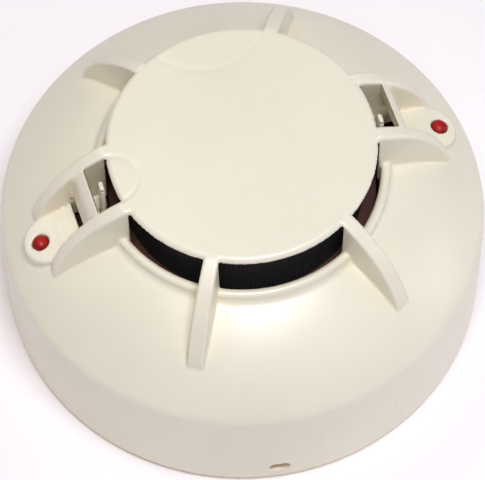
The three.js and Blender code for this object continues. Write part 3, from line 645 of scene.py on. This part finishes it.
def moulded(name, color, roughness, variation=0.025, grain=2600, depth=2.2e-5, specular=0.5,
            corners=None):
    """Moulded plastic: slow changes of tone, a fine spark-eroded grain and a slightly uneven gloss.

    Corners is a warmer, darker tone that an occlusion mask paints into the base colour of closed-in corners,
    creases and recesses: painted shade standing in for the shade and bounced light there.
    """
    n = Nodes(name)
    slow = n.spread(n.noise(38, 3), 0, 1)
    base = n.mix(slow, tone(color, 1 - variation), tone(color, 1 + variation))
    if corners:
        # Painted shade: the occlusion mask turns the base colour to the corner tone in creases and recesses.
        painted_shade_ao = n.add("ShaderNodeAmbientOcclusion", samples=6)
        painted_shade_ao.inputs["Distance"].default_value = 0.008
        base = n.mix(n.spread(painted_shade_ao.outputs["AO"], 0, 1, 0.05, 0.75), (*corners, 1), base)
    n.link(base, n.shader.inputs["Base Color"])
    fine = n.noise(grain, 2)
    n.link(n.spread(n.noise(420, 3), roughness - 0.05, roughness + 0.06), n.shader.inputs["Roughness"])
    waves = n.bump(n.noise(70, 2), 0.25, 8e-5)
    n.link(n.bump(fine, 0.5, depth, waves), n.shader.inputs["Normal"])
    n.shader.inputs["Specular IOR Level"].default_value = specular
    return n.material


def metal(name, color, roughness, stretch=(1, 1, 14), scale=900):
    """Metal with fine drawn lines and faint staining."""
    n = Nodes(name)
    n.shader.inputs["Metallic"].default_value = 1
    stain = n.spread(n.noise(260, 4), 0, 1)
    n.link(n.mix(stain, tone(color, 0.86), tone(color, 1.06)), n.shader.inputs["Base Color"])
    stretched = n.add("ShaderNodeMapping")
    stretched.inputs["Scale"].default_value = stretch
    n.link(n.place, stretched.inputs["Vector"])
    lines = n.add("ShaderNodeTexNoise")
    lines.inputs["Scale"].default_value = scale
    n.link(stretched.outputs["Vector"], lines.inputs["Vector"])
    n.link(n.spread(lines.outputs["Fac"], roughness - 0.08, roughness + 0.12), n.shader.inputs["Roughness"])
    n.link(n.bump(lines.outputs["Fac"], 0.3, 1.5e-5), n.shader.inputs["Normal"])
    return n.material


def lamp_glass(name, centre):
    """Tinted epoxy with painted light: a bright red middle that stands in for light reflected from the
    lamp's cup, and a darker rim of painted shade.
    """
    n = Nodes(name)
    placed = n.add("ShaderNodeMapping", vector_type="TEXTURE")
    placed.inputs["Location"].default_value = centre
    placed.inputs["Scale"].default_value = (0.0021, 0.0021, 0.0021)
    n.link(n.place, placed.inputs["Vector"])
    ball = n.add("ShaderNodeTexGradient", gradient_type="SPHERICAL")
    n.link(placed.outputs["Vector"], ball.inputs["Vector"])
    # Painted reflection and shade: the bright middle stands in for the cup's reflection under the epoxy, the
    # darker rim for shade.
    painted_cup_reflection = n.spread(ball.outputs["Fac"], 0, 1, 0.18, 0.6)
    n.link(n.mix(painted_cup_reflection, (0.20, 0.006, 0.005, 1), (0.56, 0.014, 0.016, 1)), n.shader.inputs["Base Color"])
    n.link(n.spread(n.noise(900), 0.28, 0.42), n.shader.inputs["Roughness"])
    n.link(n.bump(n.noise(1500), 0.15, 1e-5), n.shader.inputs["Normal"])
    n.shader.inputs["Specular IOR Level"].default_value = 0.25
    return n.material


def laminate(name, color):
    """Phenolic board: paper fibres and a soft solder-resist sheen."""
    n = Nodes(name)
    fibres = n.spread(n.noise(700, 5, 0.7), 0, 1)
    n.link(n.mix(fibres, tone(color, 0.8), tone(color, 1.15)), n.shader.inputs["Base Color"])
    n.link(n.spread(n.noise(1200), 0.4, 0.6), n.shader.inputs["Roughness"])
    n.link(n.bump(n.noise(1800, 4), 0.4, 2e-5), n.shader.inputs["Normal"])
    return n.material


HOUSING = (0.86, 0.83, 0.68)
# The corner colour (0.90, 0.74, 0.49) is painted shade, mixed into the housing's creases and recesses by
# occlusion.
housing_plastic = moulded("housing_plastic", HOUSING, 0.34, specular=0.7, corners=(0.90, 0.74, 0.49))
base_plastic = moulded("base_plastic", (0.80, 0.76, 0.65), 0.48, 0.03)
black_plastic = moulded("black_plastic", (0.012, 0.012, 0.013), 0.62, 0.15, 2000)
screen_plastic = moulded("screen_plastic", (0.032, 0.032, 0.034), 0.85, 0.1, 2000, specular=0.15)
# Painted shade: the chamber base's dark maroon stands in for the warm deep shade seen through the arm
# windows.
maroon_shade_plastic = moulded("maroon_shade_plastic", (0.10, 0.032, 0.025), 0.6, 0.08, 2000)
chip_epoxy = moulded("chip_epoxy", (0.018, 0.018, 0.019), 0.5, 0.2, 3200)
sleeve_plastic = moulded("sleeve_plastic", (0.86, 0.80, 0.64), 0.5)
bead_epoxy = moulded("bead_epoxy", (0.85, 0.79, 0.63), 0.4, 0.04, 1500)
smoky_epoxy = moulded("smoky_epoxy", (0.05, 0.06, 0.12), 0.2, 0.1, 1500)
can_sleeve = moulded("can_sleeve", (0.03, 0.05, 0.14), 0.35, 0.08, 1500)
board_laminate = laminate("board_laminate", (0.45, 0.15, 0.10))
brass_strip = metal("brass_strip", (0.72, 0.52, 0.22), 0.32)
nickel_strip = metal("nickel_strip", (0.66, 0.63, 0.57), 0.28)
zinc_steel = metal("zinc_steel", (0.60, 0.61, 0.62), 0.34)

# ---- Pieces ---------------------------------------------------------------------------------


def finished(piece, body, slot, material, *nodes):
    piece.data.materials.append(material)
    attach(piece, body)
    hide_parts(*nodes)
    return piece


def make_housing():
    margin = 1.5 * HOUSING_PITCH
    low = (-OUTER_R - margin, -OUTER_R - margin, RIM_Z - margin)
    high = (OUTER_R + margin, OUTER_R + margin, TOP_Z + margin)
    points, quads, normals = surface(housing_field, low, high, HOUSING_PITCH)
    piece = mesh_object("moulded_housing", points, quads, normals)
    finished(piece, "head", "housing", housing_plastic, "front_housing")


def make_screen():
    """A ring of fine mesh: a grid of cells round the wall, where every other column and row is open."""
    low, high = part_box("insect_screen")
    z0, z1 = low.z / MM, high.z / MM
    r1 = high.x / MM
    r0 = r1 - SCREEN_T
    columns, rows = 336, 37
    solid = [[not (i % 2 and j % 2) for j in range(rows)] for i in range(columns)]
    across = arc(0, 0, 1, 0, 360, columns)[:-1]
    heights = np.linspace(z0, z1, rows + 1)
    points = [(r * x, r * y, z) for r in (r0, r1) for x, y in across for z in heights]

    def at(skin, i, j):
        return (skin * columns + i % columns) * (rows + 1) + j

    faces = []
    for i in range(columns):
        for j in range(rows):
            if not solid[i][j]:
                continue
            faces.append((at(1, i, j), at(1, i + 1, j), at(1, i + 1, j + 1), at(1, i, j + 1)))
            faces.append((at(0, i, j), at(0, i, j + 1), at(0, i + 1, j + 1), at(0, i + 1, j)))
            if not solid[(i + 1) % columns][j]:
                faces.append((at(1, i + 1, j), at(0, i + 1, j), at(0, i + 1, j + 1), at(1, i + 1, j + 1)))
            if not solid[i - 1][j]:
                faces.append((at(0, i, j), at(1, i, j), at(1, i, j + 1), at(0, i, j + 1)))
            if j == 0 or not solid[i][j - 1]:
                faces.append((at(0, i, j), at(0, i + 1, j), at(1, i + 1, j), at(1, i, j)))
            if j == rows - 1 or not solid[i][j + 1]:
                faces.append((at(1, i, j + 1), at(1, i + 1, j + 1), at(0, i + 1, j + 1), at(0, i, j + 1)))
    piece = mesh_object("fine_screen", points, faces)
    piece.data.shade_flat()
    finished(piece, "head", "black_moulding", screen_plastic, "insect_screen")


def make_lamp(number, side):
    low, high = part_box(f"indicator_lamp_{number}")
    foot, top = low.z / MM, high.z / MM
    body, flange, z0, pitch, rise = 1.65, 1.95, 30, 1.27, 0.9
    curve = (body * body + rise * rise) / (2 * rise)
    edge = math.degrees(math.acos(body / curve))
    lens = [(0, z0), (flange - 0.1, z0), (flange, z0 + 0.1), (flange, z0 + 0.8), (flange - 0.1, z0 + 0.9),
            (body + 0.05, z0 + 0.9), (body, z0 + 1)]
    lens += arc(0, top - curve, curve, edge, 90, 16)[:-1] + [(0, top)]
    leads = [lead(LAMP_R, y, foot, z0 + 0.2) for y in (pitch, -pitch)]
    points, faces = at_arm(together(lathe(lens, 48, (LAMP_R, 0)), *leads), side)
    piece = mesh_object(f"lamp_{number}", points, faces)
    centre = (side * LAMP_R * MM, 0, (top - 1.2) * MM)
    finished(piece, "head", "lamp", lamp_glass(f"lamp_glass_{number}", centre), f"indicator_lamp_{number}")


def make_thermistor(number, side):
    low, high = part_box(f"thermistor_{number}")
    foot, top = low.z / MM, high.z / MM
    x, y = THERMISTOR
    bead = prism(stadium(x, y, *BEAD_HALF), top - 0.7, top, 0.15)
    leads = [lead(x, y + side_y, foot, top - 0.5, 0.19) for side_y in (0.55, -0.55)]
    points, faces = at_arm(together(bead, *leads), side)
    finished(mesh_object(f"thermistor_bead_{number}", points, faces), "head", "bead", bead_epoxy,
             f"thermistor_{number}")
    low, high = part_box(f"thermistor_sleeve_{number}")
    outer = stadium(x, y, *SLEEVE_OUTER)
    inner = stadium(x, y, *SLEEVE_INNER)
    mouth = stadium(x, y, *SLEEVE_TOP)
    n = len(outer)
    z0, z1 = low.z / MM, high.z / MM
    rings = [(outer, z0), (outer, z1 - SLEEVE_EDGE), (mouth, z1), (inner, z1), (inner, z0)]
    points = [(px, py, z) for outline, z in rings for px, py in outline]
    faces = []
    for row in range(len(rings)):
        a, b = row * n, (row + 1) % len(rings) * n
        faces += [(a + i, a + (i + 1) % n, b + (i + 1) % n, b + i) for i in range(n)]
    points, faces = at_arm((points, faces), side)
    finished(mesh_object(f"sleeve_{number}", points, faces), "head", "sleeve", sleeve_plastic,
             f"thermistor_sleeve_{number}")


BASE_R = 45.2
BASE_FLOOR_T = 2.4
BASE_RING = (41.5, 5.6)         # middle of the ring's section, as radius and height
BASE_RING_HALF = (1, 3.4)
LUG_ANGLES = (37, 157, 277)
LUG_BAND = (43.65, 1.55)        # middle radius and half width of the lugs' track
# Each lug's flange, back stop and end stop: angles from and to, then middle height and half height.
LUG_PARTS = ((-12, 9, 8, 1), (-12, -9, 4.7, 2.7), (27, 30, 5.5, 3.5))
FINGER_ROOM = (250.3, 14.3, 42.85, 3.35)    # middle angle, half angle, middle radius, half width
FINGER_ROOM_Z = (2.4, 6.7)
PIVOT_ANGLE = 240
PIVOT_R = 43.9
PIN_R = 0.9
PIN_Z = (4.25, 2.35)            # middle and half height
STAND_R = 26                    # the terminal stands' distance from the middle
STAND_HALF = (4.5, 4.8)
STAND_Z = (3.5, 1.5)
STAND_BORE = 1.8
STAND_BORE_Z = 0.8
CABLE_R = 11
COLLAR = (11.8, 0.8)            # middle radius and half width of the collar round the cable's hole
COLLAR_Z = (3.2, 1.2)
FIXING_R = 30                   # the fixing slots' distance from the middle
FIXING_REACH = 2.2              # half the straight part of a slot
FIXING_HALF = 2.3
FIXING_Z = 4
SPOKE_HALF = 6
DIAGONAL_SPOKE_HALF = 4
POCKET_BAND = (29.5, 12.5)      # middle radius and half width of the pockets
POCKET_DEPTH = 0.9


def arc_length_past(angle, middle, half, r):
    """How far a point lies beyond a sector's edge, along the circle through it."""
    off = np.abs((angle - middle + 180) % 360 - 180)
    return (off - half) * math.pi / 180 * r


def band(value, middle, half):
    return np.abs(value - middle) - half


def base_field(x, y, z):
    """The mounting base: floor, ring with its lug flanges, terminal stands and cored back."""
    r = np.hypot(x, y)
    angle = np.degrees(np.arctan2(y, x))
    floor = extruded(r - BASE_R, band(z, BASE_FLOOR_T / 2, BASE_FLOOR_T / 2), 0.4)
    ring = extruded(band(r, BASE_RING[0], BASE_RING_HALF[0]), band(z, BASE_RING[1], BASE_RING_HALF[1]), 0.3)
    solid = join(floor, ring, 0.5)
    track = band(r, *LUG_BAND)
    for lug in LUG_ANGLES:
        for start, end, middle_z, half_z in LUG_PARTS:
            middle, half = ((lug + start) + (lug + end)) / 2, ((lug + end) - (lug + start)) / 2
            sector = arc_length_past(angle, middle, half, r)
            solid = join(solid, np.maximum(np.maximum(track, sector), band(z, middle_z, half_z)))
    room_angle, room_half, room_r, room_width = FINGER_ROOM
    low, high = FINGER_ROOM_Z
    room = np.maximum(arc_length_past(angle, room_angle, room_half, r), band(r, room_r, room_width))
    solid = cut(solid, np.maximum(room, np.maximum(low - z, z - high)))
    pivot = math.radians(PIVOT_ANGLE)
    pin = np.hypot(x - PIVOT_R * math.cos(pivot), y - PIVOT_R * math.sin(pivot)) - PIN_R
    solid = join(solid, np.maximum(pin, band(z, *PIN_Z)), 0.2)
    # The four terminal stands mirror one another in X and in Y.
    diagonal = math.sqrt(0.5)
    u = (np.abs(x) + np.abs(y)) * diagonal - STAND_R
    v = (np.abs(y) - np.abs(x)) * diagonal
    plan = np.maximum(np.abs(u + 0.1) - STAND_HALF[0], np.abs(v) - STAND_HALF[1])
    stand = extruded(plan, band(z, *STAND_Z), 0.25)
    solid = cut(join(solid, stand, 0.3), np.maximum(np.hypot(u, v) - STAND_BORE, STAND_BORE_Z - z))
    collar = extruded(band(r, *COLLAR), band(z, *COLLAR_Z), 0.25)
    solid = cut(join(solid, collar, 0.3), r - CABLE_R, 0.2)
    fixing = np.hypot(np.maximum(band(np.abs(x), FIXING_R, FIXING_REACH), 0), y) - FIXING_HALF
    solid = cut(solid, np.maximum(fixing, z - FIXING_Z), 0.2)
    # Cored back: shallow pockets between spokes that leave the rim and the middle.
    straight = np.minimum(np.abs(x) - SPOKE_HALF, np.abs(y) - SPOKE_HALF)
    spoke = np.minimum(straight, np.abs(v) - DIAGONAL_SPOKE_HALF)
    pocket = np.maximum(np.maximum(-spoke, band(r, *POCKET_BAND)), z - POCKET_DEPTH)
    return cut(solid, pocket, 0.3)


def make_base():
    low, high = (-46.3, -46.3, -0.9), (46.3, 46.3, 9.9)
    points, quads, normals = surface(base_field, low, high, BASE_PITCH)
    piece = mesh_object("wiring_base", points, quads, normals)
    finished(piece, "base", "base_moulding", base_plastic, "mounting_base")


CARRIED = {
    "rear_cover": housing_plastic, "lock_finger": base_plastic, "circuit_board": board_laminate,
    "controller_chip": chip_epoxy, "regulator_chip": chip_epoxy, "light_receiver": chip_epoxy,
    "infrared_emitter": smoky_epoxy, "chamber_base": maroon_shade_plastic, "chamber_cover": black_plastic,
    "lamp_spacer": black_plastic, "capacitor": can_sleeve, "cover_screw": zinc_steel,
    "board_screw": zinc_steel, "terminal_screw": zinc_steel, "contact_blade": brass_strip,
    "terminal_plate": nickel_strip, "clamp_washer": nickel_strip,
}


def finish_carried_nodes():
    for name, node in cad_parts.items():
        finish = CARRIED.get(name) or CARRIED.get(name.rstrip("0123456789").rstrip("_"))
        if finish:
            node.data.materials.clear()
            node.data.materials.append(finish)


make_housing()
make_screen()
for number, side in ((1, 1), (2, -1)):
    make_lamp(number, side)
    make_thermistor(number, side)
make_base()
finish_carried_nodes()

# ---- Floor, camera and lights ---------------------------------------------------------------


def make_floor():
    half, z = 3.0, cad_box[0].z - 0.0002
    corners = [(-half, -half, z), (half, -half, z), (half, half, z), (-half, half, z)]
    mesh = bpy.data.meshes.new("floor")
    mesh.from_pydata(corners, [], [(0, 1, 2, 3)])
    floor = bpy.data.objects.new("floor", mesh)
    bpy.context.scene.collection.objects.link(floor)
    paint = moulded("floor_paint", (0.95, 0.925, 0.955), 0.9, 0.004, specular=0.1)
    shader = paint.node_tree.nodes["Principled BSDF"]
    shader.inputs["Emission Color"].default_value = (1.0, 1.0, 1.0, 1)
    shader.inputs["Emission Strength"].default_value = 0.06
    mesh.materials.append(paint)


CAMERA_DISTANCE = 0.620
CAMERA_AZIMUTH = math.radians(-17.93)
CAMERA_ELEVATION = math.radians(61.34)
CAMERA_ROLL = math.radians(-0.52)
CAMERA_TARGET = Vector((0, 0, 0.01149))
VIEW_WIDTH = 0.102105263        # metres of the object's middle that fill the picture's width
SENSOR_WIDTH = 36


def make_camera():
    back = Vector((
        math.sin(CAMERA_AZIMUTH) * math.cos(CAMERA_ELEVATION),
        -math.cos(CAMERA_AZIMUTH) * math.cos(CAMERA_ELEVATION),
        math.sin(CAMERA_ELEVATION),
    ))
    right = Vector((0, 0, 1)).cross(back).normalized()
    up = back.cross(right)
    tilted = right * math.cos(CAMERA_ROLL) + up * math.sin(CAMERA_ROLL)
    data = bpy.data.cameras.new("camera")
    data.sensor_fit = "HORIZONTAL"
    data.sensor_width = SENSOR_WIDTH
    data.lens = SENSOR_WIDTH * CAMERA_DISTANCE / VIEW_WIDTH
    camera = bpy.data.objects.new("camera", data)
    axes = Matrix((tilted, back.cross(tilted), back)).transposed().to_4x4()
    camera.matrix_world = Matrix.Translation(CAMERA_TARGET + back * CAMERA_DISTANCE) @ axes
    bpy.context.scene.collection.objects.link(camera)
    bpy.context.scene.camera = camera


def make_light(name, place, size, power, color):
    data = bpy.data.lights.new(name, "AREA")
    data.shape = "DISK"
    data.size = size
    data.energy = power
    data.color = color
    light = bpy.data.objects.new(name, data)
    light.location = place
    light.rotation_euler = (Vector((0, 0, 0.02)) - Vector(place)).to_track_quat("-Z", "Y").to_euler()
    bpy.context.scene.collection.objects.link(light)


def make_world():
    world = bpy.data.worlds.new("studio")
    world.use_nodes = True
    background = world.node_tree.nodes["Background"]
    background.inputs["Color"].default_value = (1.0, 0.75, 0.78, 1)
    background.inputs["Strength"].default_value = 0.14
    bpy.context.scene.world = world


make_floor()
make_camera()
make_light("key", (0.016, -0.217, 0.903), 0.40, 5.6, (0.97, 0.995, 1.06))
make_light("front", (-0.139, -0.428, 0.809), 0.40, 0.8, (1.0, 0.95, 0.88))
make_light("back_left", (-0.239, 0.381, 0.809), 0.40, 1.1, (1.0, 0.92, 0.76))
make_light("low_right", (0.827, -0.268, 0.263), 0.40, 1.0, (0.92, 0.94, 1.0))
make_world()
bpy.context.scene.view_settings.view_transform = "Standard"
